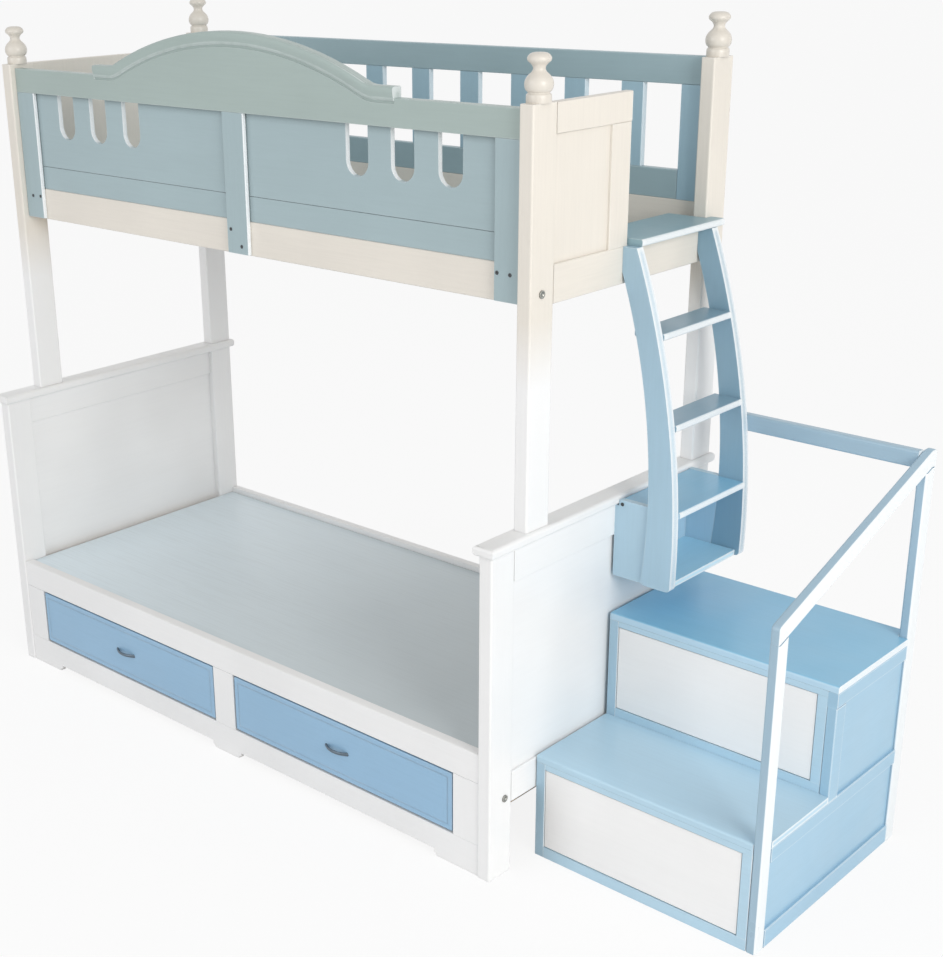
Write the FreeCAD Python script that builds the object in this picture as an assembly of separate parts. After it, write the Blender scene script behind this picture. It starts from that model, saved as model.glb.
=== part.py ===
import FreeCAD, Part
import math
import os
from FreeCAD import Vector

# Bunk bed with a wide lower berth, a narrower upper berth, an arched ladder and storage stairs.
# Millimetres. X runs along the bed towards the stairs, Y from the open front to the wall, Z up.
# Everything is laid out from the outer front left corner of the lower bed, then moved so that
# the origin is the middle of the floor under the whole piece of furniture.

# ---- bed frame -------------------------------------------------------------------------------
bed_length = 2000.0          # over the outer faces of the end frames
lower_width = 930.0          # over the lower legs, front to back
post_thick = 40.0            # legs and posts, along the bed
post_width = 86.0            # legs and posts, across the bed
post_ease = 5.0              # rounding of their long edges
edge_ease = 2.0              # chamfer of ordinary boards
running_gap = 0.3            # between a drawer and the ledge that it slides on
joint_gap = 0.3              # round a tenon
tenon_thick = 10.0
tenon_deep = 42.0            # from the cap's top
tenon_shoulder = 20.0

cap_low = 884.0              # top of the lower legs
cap_thick = 26.0
cap_overhang = 11.0
cap_nose = 9.0               # rounding of the cap's edges

end_rail_thick = 24.0        # rails of the lower end frames
end_top_rail = 84.0
end_low_rail = 85.0
end_rail_low = 198.0         # underside of the lower end frames
panel_thick = 9.0            # loose panels held in grooves
panel_recess = 8.0           # from the frame's outer face
groove_depth = 8.0

# ---- lower berth -----------------------------------------------------------------------------
face_back = 4.0              # drawer frame, behind the legs' front face
face_thick = 20.0
face_top = 350.0
face_low = 20.0              # underside between the bracket feet
face_top_rail = 82.0
face_low_rail = 70.0
face_stile = 84.0
foot_width = 150.0          # the feet beside the legs
middle_foot_width = 122.0
foot_curve = 10.0
lower_back_thick = 24.0
lower_back_low = 180.0
lower_back_top = 362.0
face_ledge = 30.0            # thickness of the drawer frame's top rail
deck_thick = 15.0
deck_gap = 1.0
lower_deck_top = 345.0
bearer_thick = 20.0
bearer_width = 70.0
lower_bearers = 7
ledger_wide = 25.0
lower_ledger_high = 24.0
corner_block = 40.0
corner_block_low = 190.0

# ---- drawers under the lower berth -----------------------------------------------------------
front_gap = 3.0              # round an inset drawer front
drawer_back = 2.0            # front's face behind the frame's face
drawer_front_thick = 18.0
drawer_wall = 12.0
drawer_floor = 6.0
drawer_floor_up = 8.0
drawer_depth = 640.0
drawer_height = 120.0
drawer_side_gap = 3.0
runner_web = 18.0
runner_high = 140.0
ledge_wide = 22.0
ledge_thick = 12.0
pull_length = 92.0
pull_reach = 16.0
pull_thick = 5.0
pull_high = 9.0

# ---- upper berth -----------------------------------------------------------------------------
upper_setback = 128.0        # front of the upper posts, behind the lower legs
post_top = 1900.0
back_rise = 48.0             # back posts and back guard above the front ones
rail_low = 1450.0            # underside of the upper rails
rail_high = 91.0
rail_thick = 22.0
rail_setback = 30.0          # front rail behind the posts' front face
back_rail_setback = 30.0
upper_deck_up = 52.0         # deck top above the rails' underside
upper_ledger_high = 17.0
upper_bearers = 9

# ---- finials, radius and height up each one --------------------------------------------------
finial_drum_r = 28.0
finial_drum_h = 16.0
finial_groove_r = 24.0
finial_groove_h = 20.0
finial_bulb_r = 33.0
finial_bulb_edge_r = 31.4    # at the ends of the bulb's round part
finial_bulb_mid = 39.0
finial_bulb_band = 8.0       # half the height of the bulb's round part
finial_neck_r = 13.5
finial_neck_low = 66.0
finial_neck_top = 77.0
finial_rim_r = 27.5
finial_rim_h = 91.0
finial_brow_r = 25.5
finial_brow = 9.0
finial_crown_r = 16.0
finial_top = 106.0

# ---- front guard -----------------------------------------------------------------------------
batten_wide = 82.0
batten_thick = 12.0
batten_up = 3.0              # above the rail's underside
strip_high = 68.0
guard_panel_thick = 14.0
guard_panel_high = 212.0
guard_rail_high = 68.0       # top rail beside the crown
crown_half = 574.0
crown_step = 26.0
crown_rise = 133.0           # peak above the top rail
crown_radius = 1180.0
crown_hollow = 80.0          # hollow curve from the arch to the shoulder
bead_down = 34.0             # routed line below the crown's edge
bead_wide = 5.0
bead_deep = 2.5
crown_nose = 2.5             # chamfer along the crown's edges
slot_wide = 74.0
slot_deep = 126.0            # from the top rail down
slot_first = 438.0           # centre of the innermost slot from the guard's middle
slot_pitch = 150.0
slots_each_side = 3

# ---- back guard and end guards ---------------------------------------------------------------
back_top_rail = 71.0
back_low_rail = 75.0
back_end_stile = 75.0
baluster_wide = 70.0
baluster_thick = 18.0
back_openings = 10
guard_top_rail = 70.0
guard_stile = 75.0
access_lap = 18.0            # right end guard's free end, past the ladder's front face

# ---- landing board and ladder ----------------------------------------------------------------
landing_thick = 18.0
landing_inside = 112.0       # reach over the bed
landing_outside = 42.0       # reach past the bed
landing_past_stile = 30.0    # end beyond the ladder's back stile
landing_gap = 2.0
ladder_inset = 94.0          # outer face of the back stile, from the lower bed's back
ladder_width = 354.0         # over both stiles
stile_thick = 26.0
stile_foot = 690.0           # underside of the ladder
stile_top_reach = 40.0       # front edge beyond the bed at the landing
stile_belly = 180.0          # front edge beyond the bed at its fullest
stile_belly_up = 780.0
stile_back = 103.0           # back edge beyond the bed at its fullest
stile_back_up = 900.0
stile_seat = 60.0            # length of the flat that bears on the end rail
stile_corner = 12.0
tread_thick = 18.0
tread_deep = 86.0
tread_nose = 6.0
tread_pitch = 220.0
open_treads = 2
tread_ease = 6.0
cubby_board = 16.0
cubby_back_board = 12.0
cubby_gap = 1.0              # between the cubby's top and the cap's nose

# ---- storage stairs --------------------------------------------------------------------------
stair_gap = 3.0              # from the bed's end
stair_width = 649.0
stair_inset = 50.0           # stairs' back, from the lower bed's back
stair_first_deep = 301.0
stair_second_deep = 396.0
stair_first_top = 292.0
stair_second_top = 586.0
stair_tread = 18.0
stair_side_thick = 27.0
stair_frame_thick = 26.0     # right side frame and handrail
stair_face = 20.0            # thickness of the frames round the drawers
stair_face_stile = 26.0
stair_base_rail = 31.0
stair_under_tread = 16.0
stair_second_rail = 24.0
stair_back_board = 9.0
side_base_rail = 50.0
side_mid_rail = 40.0
side_top_rail = 40.0
side_stile = 46.0
step_front_gap = 2.0
step_front_back = 2.0
step_front_thick = 18.0
step_drawer_wall = 12.0
step_side_gap = 3.0
step_ledge_wide = 20.0
step_ledge_thick = 12.0
step_box_below = 22.0        # top of a box below the top of its front
step_box_back_gap = 16.0
finger_pull = 9.0            # slanted cut along the top edge of a step's front

# ---- handrail --------------------------------------------------------------------------------
rail_post = 40.0             # posts, across the bed
back_post = 44.0
knee_height = 842.0
handrail_top = 1071.0
handrail_deep = 44.0
back_handrail_thick = 26.0
back_handrail_lap = 60.0     # length that lies on the ladder's stile
handrail_ease = 6.0
knee_round = 14.0

# ---- worked out from the sizes above -----------------------------------------------------------
cap_top = cap_low + cap_thick
inner_left = post_thick
inner_right = bed_length - post_thick
lower_back_face = lower_width - post_width
upper_front = upper_setback
upper_back = lower_width
rail_top = rail_low + rail_high
rail_front = upper_front + rail_setback
rail_inner_front = rail_front + rail_thick
rail_back = upper_back - back_rail_setback
rail_inner_back = rail_back - rail_thick
guard_panel_low = rail_top + strip_high
guard_panel_top = guard_panel_low + guard_panel_high
guard_top = guard_panel_top + guard_rail_high
back_top = post_top + back_rise
back_rail_top = rail_top + back_rise
batten_front = rail_front - batten_thick
bed_middle = bed_length / 2
opening_low = face_low + face_low_rail
opening_top = face_top - face_top_rail
drawer_opening = (inner_right - inner_left - 3 * face_stile) / 2
face_front = face_back
face_rear = face_back + face_thick
ledge_rear = face_back + face_ledge
lower_back_front = lower_width - lower_back_thick
landing_top = rail_top + landing_thick
stile_back_out = lower_width - ladder_inset
ladder_front = stile_back_out - ladder_width
stile_front_in = ladder_front + stile_thick
access_edge = ladder_front + access_lap
stile_back_in = stile_back_out - stile_thick
cubby_top = landing_top - tread_pitch * (open_treads + 1)
stair_left = bed_length + stair_gap
stair_right = stair_left + stair_width
stair_in_left = stair_left + stair_side_thick
stair_in_right = stair_right - stair_frame_thick
stair_back = lower_width - stair_inset
stair_step = stair_back - stair_second_deep
stair_front = stair_step - stair_first_deep
stair_face_right = stair_in_right - stair_face_stile
shelf_low = stair_first_top - stair_tread
upper_tread_low = stair_second_top - stair_tread
slope_end = stile_back_out + back_handrail_thick
front_post_back = stair_front + rail_post
back_post_front = stair_back - back_post

origin = Vector((stair_right - cap_overhang) / 2, lower_width / 2, 0)


def block(x, y, z):
    """A square-edged solid between three pairs of limits."""
    return Part.makeBox(x[1] - x[0], y[1] - y[0], z[1] - z[0], Vector(x[0], y[0], z[0]))


def long_edges(shape, sides):
    """The four edges along the longest side of a plank."""
    axis = [Vector(1, 0, 0), Vector(0, 1, 0), Vector(0, 0, 1)][sides.index(max(sides))]
    return [e for e in shape.Edges if abs(e.tangentAt(e.FirstParameter).dot(axis)) > 0.99]


def board(x, y, z):
    """A plank with a small chamfer along its four long edges."""
    sides = [x[1] - x[0], y[1] - y[0], z[1] - z[0]]
    shape = block(x, y, z)
    return shape.makeChamfer(min(edge_ease, min(sides) * 0.3), long_edges(shape, sides))


def rounded(x, y, z, ease):
    """A plank or post that hands and feet touch: its long edges are rounded."""
    sides = [x[1] - x[0], y[1] - y[0], z[1] - z[0]]
    shape = block(x, y, z)
    return shape.makeFillet(min(ease, min(sides) * 0.4), long_edges(shape, sides))


def joined(*shapes):
    """One solid from shapes that share faces or overlap."""
    return shapes[0].fuse(list(shapes[1:])).removeSplitter()


def rod(radius, start, end):
    """A round bar between two points."""
    way = end - start
    return Part.makeCylinder(radius, way.Length, start, way)


def prism(points, low, high, along):
    """A flat outline, given in the two other axes in X, Y, Z order, drawn out along one axis."""
    if along == "x":
        corners = [Vector(low, a, b) for a, b in points]
        way = Vector(high - low, 0, 0)
    else:
        corners = [Vector(a, low, b) for a, b in points]
        way = Vector(0, high - low, 0)
    return Part.Face(Part.makePolygon(corners + corners[:1])).extrude(way)


def save(name, *solids):
    """Writes one sub-part, moved to the shared origin."""
    shape = Part.makeCompound(list(solids)) if len(solids) > 1 else solids[0].copy()
    shape.translate(-origin)
    shape.exportStep(f"parts/{name}.step")


def end_span(right, near, far):
    """Limits along X, measured inwards from the outer face of the left or the right end."""
    return (bed_length - far, bed_length - near) if right else (near, far)


# ---- joints of the upper posts -------------------------------------------------------------------
def post_tenons(gap):
    """Tongues under the upper posts, or with a gap the mortises that take them."""
    low = cap_top - tenon_deep
    middle = end_rail_thick / 2
    for right in (False, True):
        x = end_span(right, middle - tenon_thick / 2 - gap, middle + tenon_thick / 2 + gap)
        for y0 in (upper_front, upper_back - post_width):
            y = (y0 + tenon_shoulder - gap, y0 + post_width - tenon_shoulder + gap)
            yield block(x, y, (low - gap, cap_top + gap))


def mortised(shape):
    for tenon in post_tenons(joint_gap):
        shape = shape.cut(tenon)
    return shape


# ---- lower end frames --------------------------------------------------------------------------
def end_panel_limits(right):
    """The loose panel of a lower end frame, its edges in the grooves."""
    x = end_span(right, panel_recess, panel_recess + panel_thick)
    y = (post_width - groove_depth, lower_back_face + groove_depth)
    low = end_rail_low + end_low_rail - groove_depth
    high = cap_low - end_top_rail + groove_depth
    return x, y, (low, high)


def lower_leg(right, back):
    x = end_span(right, 0, post_thick)
    y = (lower_back_face, lower_width) if back else (0, post_width)
    leg = rounded(x, y, (0, cap_low), post_ease)
    return mortised(leg.cut(block(*end_panel_limits(right))))


def lower_end(right):
    """Top rail, bottom rail and loose panel between two legs."""
    x = end_span(right, 0, end_rail_thick)
    y = (post_width, lower_back_face)
    panel = block(*end_panel_limits(right))
    top = mortised(board(x, y, (cap_low - end_top_rail, cap_low)).cut(panel))
    low = board(x, y, (end_rail_low, end_rail_low + end_low_rail)).cut(panel)
    return top, low, panel


def lower_cap(right):
    """The moulded cap over an end frame, with a round nose on all sides."""
    x = end_span(right, -cap_overhang, post_thick + cap_overhang)
    y = (-cap_overhang, lower_width + cap_overhang)
    cap = block(x, y, (cap_low, cap_top))
    level = [e for e in cap.Edges if e.BoundBox.ZLength < 0.1]
    return mortised(cap.makeFillet(cap_nose, level))


# ---- lower berth -------------------------------------------------------------------------------
def drawer_left_edge(index):
    """Left edge of a drawer opening under the lower berth."""
    return inner_left + face_stile + index * (drawer_opening + face_stile)


def foot_outline(x0, x1, curve_left, curve_right):
    """A bracket foot under the bottom rail, its free corners hollowed."""
    foot = block((x0, x1), (face_front, face_rear), (0, face_low))
    for curved, x in ((curve_left, x0), (curve_right, x1)):
        if curved:
            hollow = min(foot_curve, face_low)
            foot = foot.cut(rod(hollow, Vector(x, face_front, 0), Vector(x, face_rear, 0)))
    return foot


def bed_front_bottom_rail():
    rail = block((inner_left, inner_right), (face_front, face_rear), (face_low, opening_low))
    middle = (bed_middle - middle_foot_width / 2, bed_middle + middle_foot_width / 2)
    feet = [
        foot_outline(inner_left, inner_left + foot_width, False, True),
        foot_outline(middle[0], middle[1], True, True),
        foot_outline(inner_right - foot_width, inner_right, True, False),
    ]
    return joined(rail, *feet)


def bed_front_stiles():
    stiles = []
    for index in range(3):
        x0 = inner_left + index * (drawer_opening + face_stile)
        stiles.append(
            block((x0, x0 + face_stile), (face_front, face_rear), (opening_low, opening_top))
        )
    return stiles


def deck_frame(y, top, ledger_high, bearers):
    """Two ledgers along the side rails and the bearers across them, up to a deck's underside."""
    ledger_top = top - bearer_thick
    ledger_z = (ledger_top - ledger_high, ledger_top)
    x = (inner_left, inner_right)
    pieces = [
        block(x, (y[0], y[0] + ledger_wide), ledger_z),
        block(x, (y[1] - ledger_wide, y[1]), ledger_z),
    ]
    step = (inner_right - inner_left - bearer_width) / (bearers - 1)
    for index in range(bearers):
        x0 = inner_left + index * step
        pieces.append(block((x0, x0 + bearer_width), y, (ledger_top, top)))
    return pieces


def lower_supports():
    """The lower deck's frame and a block in each corner between the leg and the rails."""
    top = lower_deck_top - deck_thick
    pieces = deck_frame((ledge_rear, lower_back_front), top, lower_ledger_high, lower_bearers)
    head = top - bearer_thick - lower_ledger_high
    for right in (False, True):
        inner = end_span(right, post_thick, post_thick + corner_block)
        for y in ((ledge_rear, post_width), (lower_back_face, lower_back_front)):
            pieces.append(block(inner, y, (corner_block_low, head)))
    return pieces


def lower_deck():
    x = (inner_left + deck_gap, inner_right - deck_gap)
    y = (ledge_rear + deck_gap, lower_back_front - deck_gap)
    return block(x, y, (lower_deck_top - deck_thick, lower_deck_top))


# ---- drawers under the lower berth -------------------------------------------------------------
def runner_ledge_top():
    return opening_low + front_gap + ledge_thick


def drawer_runners():
    """A web and a ledge on each side of each drawer, from the front frame to the back rail."""
    pieces = []
    for index in range(2):
        left = drawer_left_edge(index)
        right = left + drawer_opening
        y = (face_rear, lower_back_front)
        ledge_z = (runner_ledge_top() - ledge_thick, runner_ledge_top())
        web_z = (ledge_z[0], ledge_z[0] + runner_high)
        pieces.append(block((left - runner_web, left), y, web_z))
        pieces.append(block((left, left + ledge_wide), y, ledge_z))
        pieces.append(block((right, right + runner_web), y, web_z))
        pieces.append(block((right - ledge_wide, right), y, ledge_z))
    return pieces


def drawer_front(index):
    left = drawer_left_edge(index)
    x = (left + front_gap, left + drawer_opening - front_gap)
    face = face_front + drawer_back
    z = (opening_low + front_gap, opening_top - front_gap)
    return board(x, (face, face + drawer_front_thick), z)


def open_box(x, y, z, wall, floor, floor_up):
    """Two sides, a back and a bottom: a drawer behind its front."""
    side_left = block((x[0], x[0] + wall), y, z)
    side_right = block((x[1] - wall, x[1]), y, z)
    inside = (x[0] + wall, x[1] - wall)
    back = block(inside, (y[1] - wall, y[1]), z)
    bottom = block(inside, (y[0], y[1] - wall), (z[0] + floor_up, z[0] + floor_up + floor))
    return side_left, side_right, back, bottom


def drawer_box(index):
    left = drawer_left_edge(index)
    x = (left + drawer_side_gap, left + drawer_opening - drawer_side_gap)
    start = face_front + drawer_back + drawer_front_thick
    low = runner_ledge_top() + running_gap
    z = (low, low + drawer_height)
    return open_box(x, (start, start + drawer_depth), z, drawer_wall, drawer_floor, drawer_floor_up)


def drawer_pull(index):
    """A slim bow handle in the middle of the front, drawn as an arched band seen from above."""
    x = drawer_left_edge(index) + drawer_opening / 2
    z = (opening_low + opening_top) / 2
    face = face_front + drawer_back
    half = pull_length / 2

    def bow(reach, width):
        ends = (Vector(x - width, face, z), Vector(x + width, face, z))
        return Part.Arc(ends[0], Vector(x, face - reach, z), ends[1]).toShape(), ends

    outer, outer_ends = bow(pull_reach, half)
    inner, inner_ends = bow(pull_reach - pull_thick, half - pull_thick * 1.6)
    feet = [Part.makeLine(a, b) for a, b in zip(outer_ends, inner_ends)]
    wire = Part.Wire(Part.__sortEdges__([outer, inner] + feet))
    band = Part.Face(wire).extrude(Vector(0, 0, pull_high))
    band.translate(Vector(0, 0, -pull_high / 2))
    return band


# ---- upper berth -------------------------------------------------------------------------------
def upper_post(right, back):
    x = end_span(right, 0, post_thick)
    y = (upper_back - post_width, upper_back) if back else (upper_front, upper_front + post_width)
    post = rounded(x, y, (cap_top, back_top if back else post_top), post_ease)
    for panel in (left_guard_panel(), right_guard_panel()):
        post = post.cut(panel)
    for tenon in post_tenons(0):
        if tenon.distToShape(post)[0] < 0.01:
            post = joined(post, tenon)
    return post


def finial(x, y, foot):
    """A turned finial: drum, groove, bulb, neck and a flared button with a domed top."""
    def arc(a, b, c):
        return Part.Arc(*[Vector(r, 0, h) for r, h in (a, b, c)]).toShape()

    drum = (finial_drum_r, finial_drum_h)
    groove = (finial_groove_r, finial_groove_h)
    bulb_low = (finial_bulb_edge_r, finial_bulb_mid - finial_bulb_band)
    bulb = (finial_bulb_r, finial_bulb_mid)
    bulb_up = (finial_bulb_edge_r, finial_bulb_mid + finial_bulb_band)
    neck_low = (finial_neck_r, finial_neck_low)
    neck_top = (finial_neck_r, finial_neck_top)
    rim = (finial_rim_r, finial_rim_h)
    brow = (finial_brow_r, finial_rim_h + finial_brow)
    crown = (finial_crown_r, finial_top)
    corners = [(0, 0), (finial_drum_r, 0), drum, groove, bulb_low]
    upper = [bulb_up, neck_low, neck_top, rim, brow, crown, (0, finial_top), (0, 0)]

    def run(points):
        ends = [Vector(r, 0, h) for r, h in points]
        return [Part.makeLine(a, b) for a, b in zip(ends, ends[1:])]

    profile = run(corners) + [arc(bulb_low, bulb, bulb_up)] + run(upper)
    turned = Part.Face(Part.Wire(profile)).revolve(Vector(0, 0, 0), Vector(0, 0, 1), 360)
    turned.translate(Vector(x, y, foot))
    return turned


def finials():
    """One on each upper post."""
    tops = ((upper_front + post_width / 2, post_top), (upper_back - post_width / 2, back_top))
    ends = (post_thick / 2, bed_length - post_thick / 2)
    return [finial(x, y, foot) for x in ends for y, foot in tops]


def upper_end_rail(right):
    x = end_span(right, 0, rail_thick)
    y = (upper_front + post_width, upper_back - post_width)
    rail = board(x, y, (rail_low, rail_top))
    return rail.cut(left_guard_panel()).cut(right_guard_panel())


def upper_supports():
    """The upper deck's frame."""
    top = rail_low + upper_deck_up - deck_thick
    return deck_frame((rail_inner_front, rail_inner_back), top, upper_ledger_high, upper_bearers)


def upper_deck():
    x = (inner_left + deck_gap, inner_right - deck_gap)
    y = (rail_inner_front + deck_gap, rail_inner_back - deck_gap)
    top = rail_low + upper_deck_up
    return block(x, y, (top - deck_thick, top))


def landing_board():
    """The board at the ladder's head: over the end rail and round the back post's corner."""
    z = (rail_top, landing_top)
    x = (bed_length - landing_inside, bed_length + landing_outside)
    post_front = upper_back - post_width
    main = block(x, (access_edge + landing_gap, post_front - deck_gap), z)
    outer_x = (bed_length + deck_gap, bed_length + landing_outside)
    tongue = block(outer_x, (post_front - deck_gap, stile_back_out + landing_past_stile), z)
    shape = joined(main, tongue)
    front = [e for e in shape.Edges if abs(e.BoundBox.Center.x - outer_x[1]) < 0.01]
    level = [e for e in front if e.BoundBox.YLength > landing_thick]
    return shape.makeFillet(tread_ease, level)


# ---- front guard -------------------------------------------------------------------------------
def crown_edges(down, y):
    """The crown's top line from right to left, moved down its own normal: every arc concentric."""
    shoulder = guard_top + crown_step
    arch_z = guard_top + crown_rise - crown_radius
    hollow_z = shoulder + crown_hollow
    reach = crown_radius + crown_hollow
    hollow_x = math.sqrt(reach ** 2 - (hollow_z - arch_z) ** 2)
    lean = math.atan2(hollow_x, hollow_z - arch_z)
    arch_r = crown_radius - down
    hollow_r = crown_hollow + down

    def at(x, z):
        return Vector(bed_middle + x, y, z)

    def side(sign):
        end = at(sign * crown_half, shoulder - down)
        flat = at(sign * hollow_x, shoulder - down)
        join = at(sign * arch_r * math.sin(lean), arch_z + arch_r * math.cos(lean))
        mid = at(
            sign * (hollow_x - hollow_r * math.sin(lean / 2)),
            hollow_z - hollow_r * math.cos(lean / 2),
        )
        return end, flat, mid, join

    end, flat, mid, join = side(1)
    end_l, flat_l, mid_l, join_l = side(-1)
    return [
        Part.makeLine(end, flat),
        Part.Arc(flat, mid, join).toShape(),
        Part.Arc(join, at(0, arch_z + arch_r), join_l).toShape(),
        Part.Arc(join_l, mid_l, flat_l).toShape(),
        Part.makeLine(flat_l, end_l),
    ]


def band_under_crown(down, wide, y, deep):
    """A thin band that follows the crown's line, for the routed bead."""
    upper = crown_edges(down, y)
    lower = crown_edges(down + wide, y)
    right = Part.makeLine(upper[0].Vertexes[0].Point, lower[0].Vertexes[0].Point)
    left = Part.makeLine(upper[-1].Vertexes[-1].Point, lower[-1].Vertexes[-1].Point)
    loop = Part.Wire(Part.__sortEdges__(upper + lower + [right, left]))
    return Part.Face(loop).extrude(Vector(0, deep, 0))


def guard_crown():
    """Top rail of the front guard, sawn to a camel back, with a bead routed under its edge."""
    y = batten_front
    top = crown_edges(0, y)
    right_step = Vector(bed_middle + crown_half, y, guard_top)
    left_step = Vector(bed_middle - crown_half, y, guard_top)
    corners = [
        top[-1].Vertexes[-1].Point,
        left_step,
        Vector(inner_left, y, guard_top),
        Vector(inner_left, y, guard_panel_top),
        Vector(inner_right, y, guard_panel_top),
        Vector(inner_right, y, guard_top),
        right_step,
        top[0].Vertexes[0].Point,
    ]
    lines = [Part.makeLine(a, b) for a, b in zip(corners, corners[1:])]
    outline = Part.Wire(Part.__sortEdges__(top + lines))
    thick = batten_thick + guard_panel_thick
    shape = Part.Face(outline).extrude(Vector(0, thick, 0))
    crown_top = [e for e in shape.Edges if e.BoundBox.ZMin > guard_top + crown_step - 1]
    shape = shape.makeChamfer(crown_nose, [e for e in crown_top if e.BoundBox.YLength < 0.1])
    return shape.cut(band_under_crown(bead_down, bead_wide, y, bead_deep))


def slot_centres():
    for index in range(slots_each_side):
        for sign in (-1, 1):
            yield bed_middle + sign * (slot_first + index * slot_pitch)


def guard_panel():
    """The recessed panel, with slots that run up to the top rail and end round below."""
    y = (rail_front, rail_front + guard_panel_thick)
    panel = block((inner_left, inner_right), y, (guard_panel_low, guard_panel_top))
    radius = slot_wide / 2
    turn = guard_panel_top - slot_deep + radius
    for x in slot_centres():
        reach = (turn, guard_panel_top + 1)
        slot = block((x - radius, x + radius), (y[0] - 1, y[1] + 1), reach)
        end = rod(radius, Vector(x, y[0] - 1, turn), Vector(x, y[1] + 1, turn))
        panel = panel.cut(joined(slot, end))
    return panel


def guard_battens():
    """Upright battens over the rail, the strip and the panel: both ends and the middle."""
    starts = (inner_left, bed_middle - batten_wide / 2, inner_right - batten_wide)
    z = (rail_low + batten_up, guard_panel_top)
    return [board((x, x + batten_wide), (batten_front, rail_front), z) for x in starts]


# ---- back guard --------------------------------------------------------------------------------
def back_guard_rails():
    """Top rail over the end stiles, and a low rail between them."""
    y = (rail_inner_back, rail_back)
    low_x = (inner_left + back_end_stile, inner_right - back_end_stile)
    return (
        board((inner_left, inner_right), y, (back_top - back_top_rail, back_top)),
        board(low_x, y, (back_rail_top, back_rail_top + back_low_rail)),
    )


def back_guard_stiles():
    """End stiles that stand on the bed's rail, and balusters between the guard's rails."""
    stile_y = (rail_inner_back, rail_back)
    stile_z = (back_rail_top, back_top - back_top_rail)
    pieces = [
        board((inner_left, inner_left + back_end_stile), stile_y, stile_z),
        board((inner_right - back_end_stile, inner_right), stile_y, stile_z),
    ]
    middle = rail_back - rail_thick / 2
    y = (middle - baluster_thick / 2, middle + baluster_thick / 2)
    z = (back_rail_top + back_low_rail, back_top - back_top_rail)
    clear = inner_right - inner_left - 2 * back_end_stile
    gap = (clear - (back_openings - 1) * baluster_wide) / back_openings
    for index in range(1, back_openings):
        x0 = inner_left + back_end_stile + index * gap + (index - 1) * baluster_wide
        pieces.append(board((x0, x0 + baluster_wide), y, z))
    return pieces


# ---- end guards --------------------------------------------------------------------------------
def guard_panel_limits(right, y0, y1):
    x = end_span(right, panel_recess, panel_recess + panel_thick)
    y = (y0 - groove_depth, y1 + groove_depth)
    z = (rail_top - groove_depth, post_top - guard_top_rail + groove_depth)
    return block(x, y, z)


def left_guard_panel():
    return guard_panel_limits(False, upper_front + post_width, upper_back - post_width)


def right_guard_panel():
    return guard_panel_limits(True, upper_front + post_width, access_edge - guard_stile)


def left_end_guard():
    """A top rail over one wide panel, from post to post."""
    x = end_span(False, 0, rail_thick)
    y = (upper_front + post_width, upper_back - post_width)
    panel = left_guard_panel()
    top = board(x, y, (post_top - guard_top_rail, post_top)).cut(panel)
    return top, panel


def right_end_guard():
    """The half-width guard beside the way in: top rail, free stile and panel."""
    x = end_span(True, 0, rail_thick)
    panel = right_guard_panel()
    top_z = (post_top - guard_top_rail, post_top)
    top = board(x, (upper_front + post_width, access_edge), top_z).cut(panel)
    stile_y = (access_edge - guard_stile, access_edge)
    stile = board(x, stile_y, (rail_top, top_z[0])).cut(panel)
    return top, stile, panel


# ---- ladder ------------------------------------------------------------------------------------
def arc_radius(fullest, fullest_up, other, other_up):
    """Radius of an arc that is upright at its fullest point and passes through another point."""
    across = fullest - other
    up = other_up - fullest_up
    return (across ** 2 + up ** 2) / (2 * across)


def stile_edge_x(fullest, fullest_up, radius, z):
    """How far beyond the bed a stile's curved edge is at a height."""
    return fullest - radius + math.sqrt(radius ** 2 - (z - fullest_up) ** 2)


def front_edge(z):
    radius = arc_radius(stile_belly, stile_belly_up, stile_top_reach, rail_top)
    return bed_length + stile_edge_x(stile_belly, stile_belly_up, radius, z)


def back_edge(z):
    seat = rail_top - stile_seat
    radius = arc_radius(stile_back, stile_back_up, 0, seat)
    return bed_length + stile_edge_x(stile_back, stile_back_up, radius, z)


def stile(y0):
    """An arched plank, flat where it bears on the end rail and square at the landing."""
    seat = rail_top - stile_seat

    def at(x, z):
        return Vector(x, y0, z)

    front_mid = (rail_top + stile_foot) / 2
    back_mid = (seat + stile_foot) / 2
    top_front = at(front_edge(rail_top), rail_top)
    foot_front = at(front_edge(stile_foot), stile_foot)
    foot_back = at(back_edge(stile_foot), stile_foot)
    seat_low = at(bed_length, seat)
    seat_top = at(bed_length, rail_top)
    edges = [
        Part.Arc(top_front, at(front_edge(front_mid), front_mid), foot_front).toShape(),
        Part.makeLine(foot_front, foot_back),
        Part.Arc(foot_back, at(back_edge(back_mid), back_mid), seat_low).toShape(),
        Part.makeLine(seat_low, seat_top),
        Part.makeLine(seat_top, top_front),
    ]
    shape = Part.Face(Part.Wire(edges)).extrude(Vector(0, stile_thick, 0))
    upright = [e for e in shape.Edges if e.BoundBox.YLength > stile_thick / 2]
    foot = [e for e in upright if abs(e.BoundBox.ZMin - stile_foot) < 0.01]
    return shape.makeFillet(stile_corner, foot)


def ladder_tread(top, deep):
    """A board between the stiles, flush with their curve but for its nosing."""
    x1 = front_edge(top) + tread_nose
    z = (top - tread_thick, top)
    return rounded((x1 - deep, x1), (stile_front_in, stile_back_in), z, tread_ease)


def ladder_treads():
    return [
        ladder_tread(landing_top - tread_pitch * (index + 1), tread_deep)
        for index in range(open_treads)
    ]


def cubby_top_board():
    x0 = bed_length + cap_overhang + cubby_gap
    x1 = front_edge(cubby_top) + tread_nose
    z = (cubby_top - tread_thick, cubby_top)
    return rounded((x0, x1), (stile_front_in, stile_back_in), z, tread_ease)


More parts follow.
